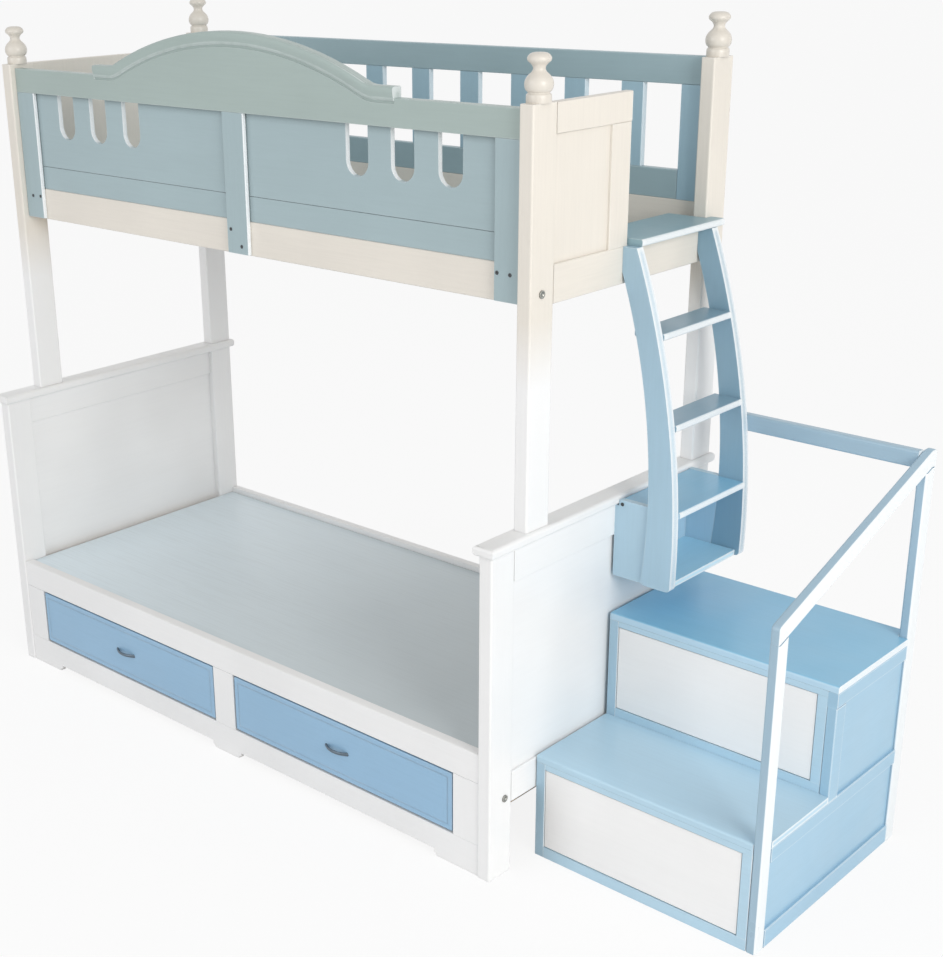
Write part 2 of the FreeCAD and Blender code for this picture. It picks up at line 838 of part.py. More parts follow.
def cubby_sides():
    """Cheeks behind the stiles, flush with the cubby's top and notched round the cap's nose."""
    reach = bed_length + (stile_belly + stile_back) / 2
    nose = (bed_length - 1, bed_length + cap_overhang + cubby_gap)
    cheeks = []
    for y0, y1, stile_y in (
        (stile_front_in - cubby_board, stile_front_in, ladder_front),
        (stile_back_in, stile_back_in + cubby_board, stile_back_in),
    ):
        cheek = block((bed_length, reach), (y0, y1), (stile_foot, cubby_top))
        notch = block(nose, (y0 - 1, y1 + 1), (cap_low - cubby_gap, landing_top))
        cheeks.append(cheek.cut(notch).cut(stile(stile_y)))
    return cheeks


def cubby_bottom_board():
    x1 = front_edge(stile_foot) - stile_corner
    z = (stile_foot, stile_foot + cubby_board)
    return block((bed_length, x1), (stile_front_in, stile_back_in), z)


def cubby_back():
    x = (bed_length, bed_length + cubby_back_board)
    z = (stile_foot + cubby_board, cubby_top - tread_thick)
    return block(x, (stile_front_in, stile_back_in), z)


# ---- storage stairs ----------------------------------------------------------------------------
def stair_left_side():
    """The stepped board next to the bed."""
    outline = [
        (stair_front, 0),
        (stair_back, 0),
        (stair_back, upper_tread_low),
        (stair_step, upper_tread_low),
        (stair_step, shelf_low),
        (stair_front, shelf_low),
    ]
    return prism(outline, stair_left, stair_in_left, "x")


def side_panels():
    """The two loose panels of the right side frame, square in their grooves."""
    x0 = stair_right - panel_recess - panel_thick
    x = (x0, x0 + panel_thick)
    lower_y = (front_post_back - groove_depth, back_post_front + groove_depth)
    lower_z = (side_base_rail - groove_depth, shelf_low - side_mid_rail + groove_depth)
    upper_y = (stair_step + side_stile - groove_depth, back_post_front + groove_depth)
    upper_z = (shelf_low - groove_depth, upper_tread_low - side_top_rail + groove_depth)
    return block(x, lower_y, lower_z), block(x, upper_y, upper_z)


def stair_right_side():
    """Rails and stile between the two handrail posts, round two loose panels."""
    x = (stair_in_right, stair_right)
    y = (front_post_back, back_post_front)
    rails = [
        board(x, y, (0, side_base_rail)),
        board(x, y, (shelf_low - side_mid_rail, shelf_low)),
        board(x, (stair_step, back_post_front), (upper_tread_low - side_top_rail, upper_tread_low)),
        board(x, (stair_step, stair_step + side_stile), (shelf_low, upper_tread_low - side_top_rail)),
    ]
    panels = side_panels()
    for panel in panels:
        rails = [rail.cut(panel) for rail in rails]
    return rails + list(panels)


def lower_tread():
    """First tread, which runs on inside as the shelf over the lower drawer."""
    z = (shelf_low, stair_first_top)
    tread = block((stair_left, stair_right), (stair_front, stair_step), z)
    shelf_y = (stair_step, stair_back - stair_back_board)
    shelf = block((stair_in_left, stair_in_right), shelf_y, z)
    post = block((stair_in_right, stair_right + 1), (stair_front - 1, front_post_back), z)
    return nosed(joined(tread, shelf).cut(post), stair_front)


def upper_tread():
    """Second tread, notched round the handrail's back post."""
    z = (upper_tread_low, stair_second_top)
    tread = block((stair_left, stair_right), (stair_step, stair_back), z)
    post = block((stair_in_right, stair_right + 1), (back_post_front, stair_back + 1), z)
    return nosed(tread.cut(post), stair_step)


def nosed(shape, front):
    """Rounds the long front edge of a stair tread."""
    at_front = [e for e in shape.Edges if abs(e.BoundBox.Center.y - front) < 0.01]
    level = [e for e in at_front if e.BoundBox.XLength > stair_tread * 2]
    top = max(e.BoundBox.ZMax for e in level)
    return shape.makeFillet(tread_ease, [e for e in level if e.BoundBox.ZMax > top - 0.01])


def stair_front_frames():
    """Rails and stiles round the two drawer fronts."""
    x = (stair_in_left, stair_in_right)
    stile_x = (stair_face_right, stair_in_right)
    first_y = (stair_front, stair_front + stair_face)
    second_y = (stair_step, stair_step + stair_face)
    first_top = shelf_low - stair_under_tread
    second_low = stair_first_top + stair_second_rail
    second_top = upper_tread_low - stair_under_tread
    return [
        block(x, first_y, (0, stair_base_rail)),
        block(x, first_y, (first_top, shelf_low)),
        block(stile_x, first_y, (stair_base_rail, first_top)),
        block(x, second_y, (stair_first_top, second_low)),
        block(x, second_y, (second_top, upper_tread_low)),
        block(stile_x, second_y, (second_low, second_top)),
    ]


def stair_back_board_solid():
    y = (stair_back - stair_back_board, stair_back)
    return block((stair_in_left, stair_in_right), y, (0, upper_tread_low))


def step_opening(upper):
    """Front face, floor and head of a step's drawer opening."""
    if upper:
        low = stair_first_top + stair_second_rail
        return stair_step, low, upper_tread_low - stair_under_tread
    return stair_front, stair_base_rail, shelf_low - stair_under_tread


def step_ledges():
    """A ledge each side of each step drawer."""
    pieces = []
    for upper in (False, True):
        front, low, _ = step_opening(upper)
        y = (front + stair_face, stair_back - stair_back_board)
        z = (low, low + step_ledge_thick)
        pieces.append(block((stair_in_left, stair_in_left + step_ledge_wide), y, z))
        pieces.append(block((stair_face_right - step_ledge_wide, stair_in_right), y, z))
    return pieces


def step_front(upper):
    """A flush drawer front without a handle, its top edge cut to a slant for the fingers."""
    front, low, high = step_opening(upper)
    x = (stair_in_left + step_front_gap, stair_face_right - step_front_gap)
    face = front + step_front_back
    z = (low + step_front_gap, high - step_front_gap)
    shape = block(x, (face, face + step_front_thick), z)
    slant = [
        (face + step_front_thick - finger_pull, z[1] + 1),
        (face + step_front_thick + 1, z[1] + 1),
        (face + step_front_thick + 1, z[1] - finger_pull - 1),
    ]
    return shape.cut(prism(slant, x[0] - 1, x[1] + 1, "x"))


def step_box(upper):
    front, low, high = step_opening(upper)
    x = (stair_in_left + step_side_gap, stair_face_right - step_side_gap)
    start = front + step_front_back + step_front_thick
    y = (start, stair_back - stair_back_board - step_box_back_gap)
    z = (low + step_ledge_thick + running_gap, high - step_box_below)
    return open_box(x, y, z, step_drawer_wall, drawer_floor, drawer_floor_up)


# ---- handrail ----------------------------------------------------------------------------------
def slope_top(y):
    """Top line of the slanting handrail, as far as the back of the level one."""
    rise = handrail_top - knee_height
    return knee_height + rise * (y - stair_front) / (slope_end - stair_front)


def slope_body():
    """The slanting rail before its edges are eased: up to the level rail, then level to the back."""
    top = [
        (stair_front, slope_top(stair_front)),
        (slope_end, handrail_top),
        (stair_back, handrail_top),
    ]
    under = [(y, z - handrail_deep) for y, z in reversed(top)]
    return prism(top + under, stair_in_right, stair_right, "x")


def slanting_rail():
    """From the knee over both posts to the handrail's corner."""
    rail = slope_body()
    across = [e for e in rail.Edges if e.BoundBox.XLength > stair_frame_thick / 2]
    knee = [e for e in across if abs(e.BoundBox.YMin - stair_front) < 0.01]
    knee = [e for e in knee if e.BoundBox.ZMax > slope_top(stair_front) - 1]
    rail = rail.makeFillet(knee_round, knee)
    along = [e for e in rail.Edges if e.BoundBox.XLength < 0.1 and e.BoundBox.YLength > 0.1]
    return rail.makeFillet(handrail_ease, along)


def front_handrail_post():
    """From the floor to the slanting rail: also the front stile of the stairs' side."""
    x = (stair_in_right, stair_right)
    head = slope_top(front_post_back) - handrail_deep
    post = rounded(x, (stair_front, front_post_back), (0, head), handrail_ease)
    post = post.cut(slope_body())
    for panel in side_panels():
        post = post.cut(panel)
    return post


def back_handrail_post():
    """From the floor to the handrail's corner: also the back stile of the stairs' side."""
    x = (stair_in_right, stair_right)
    head = handrail_top - handrail_deep
    post = rounded(x, (back_post_front, stair_back), (0, head), handrail_ease)
    post = post.cut(slope_body())
    for panel in side_panels():
        post = post.cut(panel)
    return post


def back_handrail():
    """From the ladder's back stile along to the slanting rail."""
    top = handrail_top
    x0 = front_edge(top) - back_handrail_lap
    y = (stile_back_out, slope_end)
    return rounded((x0, stair_in_right), y, (top - handrail_deep, top), handrail_ease)


# ---- everything, one file for each sub-part ------------------------------------------------------
def write_lower_bed():
    sides = ((False, "left"), (True, "right"))
    for right, side in sides:
        save(f"lower_leg_front_{side}", lower_leg(right, False))
        save(f"lower_leg_back_{side}", lower_leg(right, True))
        save(f"lower_end_{side}", *lower_end(right))
        save(f"lower_cap_{side}", lower_cap(right))
    ledge_y = (face_front, ledge_rear)
    top_rail = board((inner_left, inner_right), ledge_y, (opening_top, face_top))
    back_y = (lower_back_front, lower_width)
    back_rail = board((inner_left, inner_right), back_y, (lower_back_low, lower_back_top))
    save("bed_front_top_rail", top_rail)
    save("bed_front_bottom_rail", bed_front_bottom_rail())
    save("bed_front_stiles", *bed_front_stiles())
    save("lower_back_rail", back_rail)
    save("lower_deck", lower_deck())
    for index, side in enumerate(("left", "right")):
        save(f"bed_drawer_{side}_front", drawer_front(index))
        save(f"bed_drawer_{side}_box", *drawer_box(index))
        save(f"bed_drawer_{side}_pull", drawer_pull(index))


def write_upper_bed():
    for right, side in ((False, "left"), (True, "right")):
        save(f"upper_post_front_{side}", upper_post(right, False))
        save(f"upper_post_back_{side}", upper_post(right, True))
    save("post_finials", *finials())
    rail_x = (inner_left, inner_right)
    front = board(rail_x, (rail_front, rail_inner_front), (rail_low, rail_top))
    back = board(rail_x, (rail_inner_back, rail_back), (rail_low, back_rail_top))
    save("upper_side_rails", front, back)
    save("upper_end_rails", upper_end_rail(False), upper_end_rail(True))
    save("upper_deck", upper_deck())
    save("landing_board", landing_board())


def write_guards():
    panel_y = (rail_front, rail_front + guard_panel_thick)
    strip = board((inner_left, inner_right), panel_y, (rail_top, guard_panel_low))
    save("front_guard_crown", guard_crown())
    save("front_guard_panel", guard_panel())
    save("front_guard_strip", strip)
    save("front_guard_battens", *guard_battens())
    save("back_guard_rails", *back_guard_rails())
    save("back_guard_balusters", *back_guard_stiles())
    save("left_end_guard", *left_end_guard())
    save("right_end_guard", *right_end_guard())


def write_ladder():
    save("ladder_stile_front", stile(ladder_front))
    save("ladder_stile_back", stile(stile_back_in))
    save("ladder_treads", *ladder_treads())
    save("cubby_top", cubby_top_board())
    save("cubby_bottom", cubby_bottom_board())
    save("cubby_walls", *cubby_sides(), cubby_back())


def write_stairs():
    save("stair_left_side", stair_left_side())
    save("stair_right_side", *stair_right_side())
    save("stair_lower_tread", lower_tread())
    save("stair_upper_tread", upper_tread())
    save("stair_front_frames", *stair_front_frames())
    save("stair_back", stair_back_board_solid())
    for upper, step in ((False, "lower"), (True, "upper")):
        save(f"{step}_step_drawer_front", step_front(upper))
        save(f"{step}_step_drawer_box", *step_box(upper))
    save("handrail_slope", slanting_rail())
    save("handrail_front_post", front_handrail_post())
    save("handrail_back_post", back_handrail_post())
    save("handrail_back", back_handrail())


def write_shared():
    save("deck_supports", *lower_supports(), *upper_supports())
    save("drawer_runners", *drawer_runners(), *step_ledges())


os.makedirs("parts", exist_ok=True)
write_lower_bed()
write_upper_bed()
write_guards()
write_ladder()
write_stairs()
write_shared()
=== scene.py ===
import math

import bmesh
import bpy
from mathutils import Matrix, Vector


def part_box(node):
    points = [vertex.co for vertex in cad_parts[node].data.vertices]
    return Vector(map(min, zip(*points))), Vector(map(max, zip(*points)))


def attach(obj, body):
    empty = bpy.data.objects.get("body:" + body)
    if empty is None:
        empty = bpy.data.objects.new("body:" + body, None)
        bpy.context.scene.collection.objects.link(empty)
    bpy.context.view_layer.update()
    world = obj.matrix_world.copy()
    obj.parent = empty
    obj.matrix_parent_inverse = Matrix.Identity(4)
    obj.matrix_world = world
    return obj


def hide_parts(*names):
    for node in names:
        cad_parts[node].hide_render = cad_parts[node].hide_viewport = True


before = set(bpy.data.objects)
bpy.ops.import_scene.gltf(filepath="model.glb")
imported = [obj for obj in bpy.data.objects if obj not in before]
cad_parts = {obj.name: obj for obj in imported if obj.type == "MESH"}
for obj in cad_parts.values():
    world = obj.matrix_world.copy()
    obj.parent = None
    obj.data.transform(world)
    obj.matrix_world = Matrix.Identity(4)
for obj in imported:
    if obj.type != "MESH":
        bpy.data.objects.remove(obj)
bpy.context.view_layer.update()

# A bunk bed with an arched ladder and storage stairs, dressed for its photograph.
# Places in millimetres count from the outer front left corner of the lower bed, as in the part's
# source, and place() turns them into the shared frame. Sizes are in metres, except where a
# comment says millimetres.

# ---- the bed's sizes, in millimetres ----------------------------------------------------------
BED_LENGTH = 2000.0
FRAME_ORIGIN = (1320.5, 465.0)      # where the shared frame's origin is
BATTEN_FACE = 146.0                 # front face of the guard's battens
GUARD_TOP = 1889.0                  # top rail beside the crown
CROWN_HALF = 574.0                  # half the crown's length
CROWN_STEP = 26.0                   # the crown's shoulder above the top rail
CROWN_RISE = 133.0                  # the crown's peak above the top rail
CROWN_RADIUS = 1180.0               # radius of the arch
CROWN_HOLLOW = 80.0                 # radius of the hollows beside the arch

# ---- camera, as fitted to the photograph ------------------------------------------------------
PHOTO_WIDE, PHOTO_HIGH = 943, 957
EYE = (4128.9, -2609.6, 2269.9)     # in millimetres
EYE_TURN = math.radians(43.811)
EYE_DIP = math.radians(21.070)
EYE_ROLL = math.radians(-1.141)
FOCAL_PIXELS = 1560.88
AXIS_PIXEL = (375.0, 525.0)         # where the lens axis meets the picture
SENSOR_WIDE = 36.0
FARTHEST = 300.0                    # how far the camera sees

# ---- light and floor --------------------------------------------------------------------------
WORLD_LIGHT = 0.56
FLOOR_HALF = 90.0                   # half the floor's side
FLOOR_GREY = 0.86
FLOOR_GLOW = 0.88                   # how far the floor shows as plain white to the camera
# Name, place, aim, side, watts and colour of each lamp.
LAMPS = [
    ("key_lamp", (6.2, -2.0, 3.2), (0.4, 0.0, 1.1), 3.0, 218.0, (1.0, 0.985, 0.96)),
    ("fill_lamp", (-1.8, -6.0, 3.0), (0.0, 0.0, 1.0), 3.6, 80.0, (0.97, 0.98, 1.0)),
]

# ---- paints, as 0 to 255 screen colours -------------------------------------------------------
WHITE_PAINT = (243, 243, 243)
CREAM_PAINT = (233, 227, 217)
# A darker copy of the cream, as painted shade on the finials.
SHADED_FINIAL_PAINT = (223, 217, 207)
GUARD_PAINT = (166, 186, 191)
CROWN_PAINT = (168, 184, 180)
BACK_RAIL_PAINT = (160, 184, 191)
BACK_SLAT_PAINT = (166, 197, 212)
LANDING_PAINT = (150, 182, 193)
BLUE_PAINT = (170, 202, 221)
SIDE_BLUE_PAINT = (158, 195, 218)
MID_BLUE_PAINT = (140, 197, 228)
# A darker copy of the blue, as painted shade on the ladder's back stile and treads.
SHADED_BLUE_PAINT = (140, 175, 195)
# A lighter copy of the blue, as painted light on the cubby's walls, the lower tread and the
# stairs' front frames.
LIT_BLUE_PAINT = (182, 213, 231)
RAIL_PAINT = (162, 190, 208)
# A lighter copy of the blue, as painted light on the cubby's shaded floor.
LIT_CUBBY_FLOOR_PAINT = (190, 234, 252)
DRAWER_PAINT = (150, 189, 219)
PRIMER_AND_HIGHLIGHT = (238, 242, 244)            # the undercoat where paint wears through, and the pale of painted highlights
# Painted shade: the deck turns greyer to the right, where the bed's right end shades it.
DECK_LIT_LEFT, DECK_SHADED_RIGHT = (230, 243, 250), (200, 210, 214)
PINE_LIGHT, PINE_DARK = (226, 198, 152), (190, 150, 98)
PLY_LIGHT, PLY_DARK = (226, 205, 168), (196, 166, 122)
PULL_METAL = (104, 116, 126)
BOLT_METAL = (170, 170, 164)
SCREW_METAL = (92, 94, 96)

# ---- paint wear, painted highlights, and painted shade in corners -----------------------------
CORNER_SHADE_REACH = 0.012                  # how far painted shade lies from an inner corner
CORNER_SHADE_TONE = 0.42                    # its tone, as a share of the paint's
BOARD_SHADE_REACH = 0.03
METAL_SHADE_REACH = 0.004
RUB_AND_GLINT_REACH = 0.0030                  # width of the paled line on an arris, partly wear and partly a painted highlight
LIT_EDGE_REACH = 0.018                  # width of the painted highlight along an edge that faces right
LOOKS_RIGHT = (0.25, 0.60)          # turn to the right at which the painted highlight starts and is full
LOOKS_FORWARD = (-0.5, -0.9)        # the same to the front, as the axis points back
FADE_LOW, FADE_HIGH = 1.26, 1.42    # heights between which painted light turns the posts from cream to white
DECK_TURN = (200.0, 1600.0)         # the deck's painted shade deepens between these, in millimetres
CORNER_SAMPLES = 6                  # rays for finding a corner

# ---- noises, as cells across a metre, detail, roughness and twist -----------------------------
PAINT_FIBRES = (150.0, 6.0, 0.62, 0.25)
PAINT_FIGURE = (17.0, 3.0, 0.5, 0.8)
PAINT_PATCHES = (2.3, 2.0)
PAINT_SPECKS = (620.0, 2.0)
PAINT_WEAR = (34.0, 4.0)
PAINT_GLOSS = (9.0, 4.0)
WOOD_FIBRES = (240.0, 5.0, 0.6)
BOARD_LINES = (210.0, 4.0, 0.55)
BOARD_PATCHES = (1.6, 2.0)
BOARD_GLOSS = (5.0, 4.0)
METAL_LINES = (1400.0, 3.0)
METAL_SMUDGE = (130.0, 3.0)
# How far each pattern is drawn out along the grain: its cells there, against those across.
PAINT_FIBRES_DRAWN, PAINT_FIGURE_DRAWN = 0.045, 0.12
WOOD_RINGS_DRAWN, WOOD_FIBRES_DRAWN = 0.07, 0.03
BOARD_LINES_DRAWN, METAL_LINES_DRAWN = 0.03, 0.04

# ---- bumps, as depth and strength, and the lacquer's clear coat -------------------------------
FIBRE_BUMP = (0.0006, 0.22)
SPECK_BUMP = (0.0002, 0.16)
WOOD_BUMP = (0.0008, 0.3)
BOARD_BUMP = (0.0003, 0.2)
METAL_BUMP = (0.0001, 0.2)
COAT_SHARE, COAT_ROUGHNESS = 0.18, 0.22

# ---- joins, bevels and shading ----------------------------------------------------------------
SAME_SPOT = 0.00001                 # vertices nearer than this are one
NODE_WELD = 0.00002
NODE_EASE = 0.0011                  # bevel along a node's square edges
NODE_FLAT = math.radians(0.6)       # faces within this angle are one
NODE_CORNER = math.radians(55)      # edges sharper than this are eased
NODE_CREASE = math.radians(40)      # faces that meet at more than this are shaded apart
STRIP_CREASE = math.radians(60)
SHADING_WEIGHT = 80

# ---- finials, in millimetres ------------------------------------------------------------------
# Radius and height up a finial, from its foot: drum, groove, bulb, neck, button and flat crown.
FINIAL_PROFILE = [
    (28.2, 0.0), (28.6, 3.0), (28.6, 16.0), (27.4, 19.0), (24.2, 20.4), (24.2, 22.4),
    (28.4, 25.0), (31.6, 30.5), (33.0, 39.5), (31.4, 48.5), (26.0, 57.0), (18.4, 63.0),
    (14.2, 68.0), (13.5, 73.0), (15.2, 78.0), (20.4, 83.5), (25.8, 87.0), (27.5, 91.5),
    (26.8, 96.0), (22.8, 101.5), (16.6, 105.2), (8.0, 106.0), (0.0, 106.0),
]
FINIAL_STEPS = 40
FINIAL_POSTS = ("front_left", "front_right", "back_left", "back_right")

# ---- bolts and screws -------------------------------------------------------------------------
# Bolts: the bed's left (0) or right (1) end, and how far back and how high, in millimetres.
BOLTS = [
    (end, y, z)
    for ys, z in (((169.0, 889.0), 1480.0), ((58.0, 872.0), 220.0))
    for end in (0, 1)
    for y in ys
]
# Screws, in millimetres: two low on each end batten and two on the middle one, by their places
# along and up, and one in the cubby's cheek, by its place along, back and up.
BATTEN_SCREWS = [
    (74.0, 1518.0), (112.0, 1519.0), (975.0, 1517.0), (1015.0, 1474.0),
    (1888.0, 1519.0), (1926.0, 1518.0),
]
CUBBY_SCREW = (2022.0, 492.0, 888.0)
# Radius, height and half width of the hexagon socket of a head.
BOLT_HEAD = (0.0095, 0.0028, 0.0038)
SCREW_HEAD = (0.0048, 0.0010, 0.0019)
HEAD_SIDES = 24
# Shares of a head's height: its eased rim's width and lift, and its socket's depth.
HEAD_RIM, HEAD_LIFT, HEAD_SOCKET = 0.35, 0.18, 0.9
HEAD_LIP = 0.25                     # share of the radius outside the socket

# ---- the crown's moulding ---------------------------------------------------------------------
# Section in millimetres: distance in from the crown's edge, and how far it stands proud.
MOULD_SECTION = [
    (0.6, 0.0), (0.8, 2.6), (2.6, 4.6), (6.0, 5.6), (11.0, 5.9), (17.0, 5.2), (22.0, 3.8),
    (25.6, 2.6), (27.2, 2.4), (29.4, 2.9), (31.4, 2.2), (32.6, 0.0),
]
ARCH_STEPS, HOLLOW_STEPS = 64, 10

# ---- drawer fronts and pulls ------------------------------------------------------------------
FRONT_SHY = 0.0020                  # how far a drawer front stays inside its solid, all round
FRONT_EASE = 0.0020
# Insets and depths of the line routed round a drawer front: flat, down and up again.
ROUTED_LINE = ((0.0110, 0.0), (0.0022, -0.0024), (0.0022, 0.0024))
BOW_HALF = 0.0400
BOW_REACH = 0.0135
BOW_BAR = 0.0031                    # radius of the bar, before it is drawn out upwards
BOW_TALL = 1.55
BOW_SIDES, BOW_STEPS = 16, 28
BOW_FOOT_IN = 0.001                 # a foot's middle from the bow's end
BOW_FOOT_SUNK = 0.0002
BOW_FOOT_STEPS = 20
# Radius and height of a foot, in millimetres.
BOW_FOOT = [(5.6, 0.0), (5.6, 1.2), (4.6, 2.2), (3.2, 2.8), (0.0, 3.0)]


# ---- small helpers ----------------------------------------------------------------------------
def place(x, y, z):
    """A point in millimetres from the bed's corner, in the shared frame."""
    return Vector(((x - FRAME_ORIGIN[0]) / 1000, (y - FRAME_ORIGIN[1]) / 1000, z / 1000))


def tint(colour, lift=1.0):
    """A screen colour as the light values that shaders take."""
    parts = []
    for value in colour:
        share = value / 255
        light = share / 12.92 if share <= 0.04045 else ((share + 0.055) / 1.055) ** 2.4
        parts.append(min(light * lift, 1.0))
    return (*parts, 1.0)


def feed(socket, value):
    """Sets a socket, or joins another node's output to it."""
    if isinstance(value, bpy.types.NodeSocket):
        socket.id_data.links.new(value, socket)
    else:
        socket.default_value = value


def knot(tree, kind, inputs=None, **settings):
    """A new shader node with its settings and sockets filled in."""
    made = tree.nodes.new("ShaderNode" + kind)
    for name, value in settings.items():
        setattr(made, name, value)
    for key, value in (inputs or {}).items():
        feed(made.inputs[key], value)
    return made


def clouds(tree, where, scale, detail, rough=0.5, twist=0.0):
    """Soft noise between 0 and 1."""
    made = knot(tree, "TexNoise", {"Vector": where, "Scale": scale, "Detail": detail})
    feed(made.inputs["Roughness"], rough)
    feed(made.inputs["Distortion"], twist)
    return made.outputs["Fac"]


def ranged(tree, value, low, high, to_low, to_high):
    """Stretches the part of a value between low and high over a new range."""
    made = knot(tree, "MapRange", {"Value": value, "From Min": low, "From Max": high})
    feed(made.inputs["To Min"], to_low)
    feed(made.inputs["To Max"], to_high)
    return made.outputs["Result"]


def times(tree, a, b):
    """Two values multiplied."""
    made = knot(tree, "Math", {0: a, 1: b}, operation="MULTIPLY")
    return made.outputs[0]


def blended(tree, share, a, b):
    """Two colours mixed by a share."""
    made = knot(tree, "Mix", {0: share, 6: a, 7: b}, data_type="RGBA", blend_type="MIX")
    return made.outputs[2]


def veiled(tree, base, colour, value, low, high, most=1.0):
    """Lays a colour over a base where a value rises from low to high."""
    return blended(tree, ranged(tree, value, low, high, 0.0, most), base, colour)


def raised(tree, height, far, strength, under=None):
    """A bump of a given depth in metres, on top of another."""
    made = knot(tree, "Bump", {"Height": height, "Distance": far, "Strength": strength})
    if under is not None:
        feed(made.inputs["Normal"], under)
    return made.outputs["Normal"]


def stretched(tree, grain, along):
    """Object coordinates drawn out along the grain."""
    where = knot(tree, "TexCoord").outputs["Object"]
    scale = [1.0] * 3
    scale["xyz".index(grain)] = along
    made = knot(tree, "Mapping", {"Vector": where, "Scale": scale})
    return made.outputs["Vector"]


def along_axis(tree, where, axis):
    """One coordinate of a vector."""
    return knot(tree, "SeparateXYZ", {0: where}).outputs[axis]


def facing(tree, axis, limits):
    """How far a face looks along an axis of the bed, between two limits."""
    way = knot(tree, "TexCoord").outputs["Normal"]
    return ranged(tree, along_axis(tree, way, axis), *limits, 0.0, 1.0)


def corner_share(tree, reach, inside):
    """How near an inner or outer corner a place is: 0 in the open, up to 1."""
    made = knot(
        tree, "AmbientOcclusion", {"Distance": reach}, samples=CORNER_SAMPLES, inside=inside,
    )
    made.only_local = inside
    return ranged(tree, made.outputs["AO"], 0.35, 1.0, 1.0, 0.0)


def corner_shaded(tree, base, corner_shade, reach, share):
    """Darkens a finish in its inner corners, as painted shade."""
    return blended(tree, times(tree, corner_share(tree, reach, False), share), base, corner_shade)


def started(name):
    """A new material, its tree, its shader and its object coordinates."""
    finish = bpy.data.materials.new(name)
    finish.use_nodes = True
    tree = finish.node_tree
    return finish, tree, tree.nodes["Principled BSDF"], knot(tree, "TexCoord").outputs["Object"]


# ---- finishes ---------------------------------------------------------------------------------
def grained(tree, where, colour, grain, show, fibres):
    """A paint's tone in soft patches, with the wood's figure and fibres faintly through it."""
    patches = clouds(tree, where, *PAINT_PATCHES)
    figure = clouds(tree, stretched(tree, grain, PAINT_FIGURE_DRAWN), *PAINT_FIGURE)
    base = veiled(tree, tint(colour, 0.955), tint(colour, 1.03), patches, 0.3, 0.7)
    base = veiled(tree, base, tint(colour, 0.86), figure, 0.35, 0.7, 0.12 * show)
    return veiled(tree, base, tint(colour, 0.78), fibres, 0.42, 0.74, 0.17 * show)


def worn_and_lit(tree, where, base, rub_and_glint, pale, reach, lit_front):
    """Wear and painted highlight on arrises; painted highlights on right-facing edges and
    fronts.
    """
    primer_and_highlight = tint(PRIMER_AND_HIGHLIGHT)
    if pale > 0:
        # Painted highlight along edges that face right, toward the key lamp.
        lit_band = times(tree, corner_share(tree, reach, True), facing(tree, "X", LOOKS_RIGHT))
        base = veiled(tree, base, primer_and_highlight, lit_band, 0.04, 0.50, pale)
    # Painted highlight on forward faces.
    if lit_front > 0:
        base = blended(tree, times(tree, facing(tree, "Y", LOOKS_FORWARD), lit_front), base, primer_and_highlight)
    # Each arris paled in patches: partly paint wear and partly a painted highlight.
    patchy = ranged(tree, clouds(tree, where, *PAINT_WEAR), 0.36, 0.60, 0.4 * rub_and_glint, rub_and_glint)
    rubbed_and_lit = times(tree, corner_share(tree, RUB_AND_GLINT_REACH, True), patchy)
    return blended(tree, rubbed_and_lit, base, primer_and_highlight)


def painted(
    name, colour, grain, shine=0.36, show=1.0, rub_and_glint=0.6, corner_shade=0.24, shade_reach=CORNER_SHADE_REACH,
    pale=0.0, reach=LIT_EDGE_REACH, lit_front=0.0, foot=None,
):
    """Satin lacquer over solid wood.

    Shine is its roughness and show how far the grain comes through. The settings after it give,
    in turn: how far each arris is paled in patches, partly paint wear and partly a painted
    highlight; how dark and how far painted shade lies in inner corners; how far and how wide a
    painted highlight pales edges that face right, toward the key lamp; and how far forward faces
    are painted paler as a highlight. A foot colour takes over below the upper rails, as painted
    light that makes the posts whiter low down.
    """
    finish, tree, shader, where = started(name)
    fibres = clouds(tree, stretched(tree, grain, PAINT_FIBRES_DRAWN), *PAINT_FIBRES)
    base = grained(tree, where, colour, grain, show, fibres)
    # Painted light: low down the colour turns to the foot colour.
    if foot is not None:
        below = ranged(tree, along_axis(tree, where, "Z"), FADE_LOW, FADE_HIGH, 1.0, 0.0)
        base = blended(tree, below, base, tint(foot))
    # Painted shade in the inner corners.
    base = corner_shaded(tree, base, tint(colour, CORNER_SHADE_TONE), shade_reach, corner_shade)
    # Paint wear and painted highlights on arrises, right-facing edges and forward faces.
    feed(shader.inputs["Base Color"], worn_and_lit(tree, where, base, rub_and_glint, pale, reach, lit_front))
    gloss = ranged(tree, clouds(tree, where, *PAINT_GLOSS), 0.3, 0.7, shine - 0.06, shine + 0.08)
    feed(shader.inputs["Roughness"], gloss)
    shader.inputs["IOR"].default_value = 1.5
    shader.inputs["Coat Weight"].default_value = COAT_SHARE
    shader.inputs["Coat Roughness"].default_value = COAT_ROUGHNESS
    skin = raised(tree, fibres, *FIBRE_BUMP)
    skin = raised(tree, clouds(tree, where, *PAINT_SPECKS), *SPECK_BUMP, skin)
    feed(shader.inputs["Normal"], skin)
    return finish


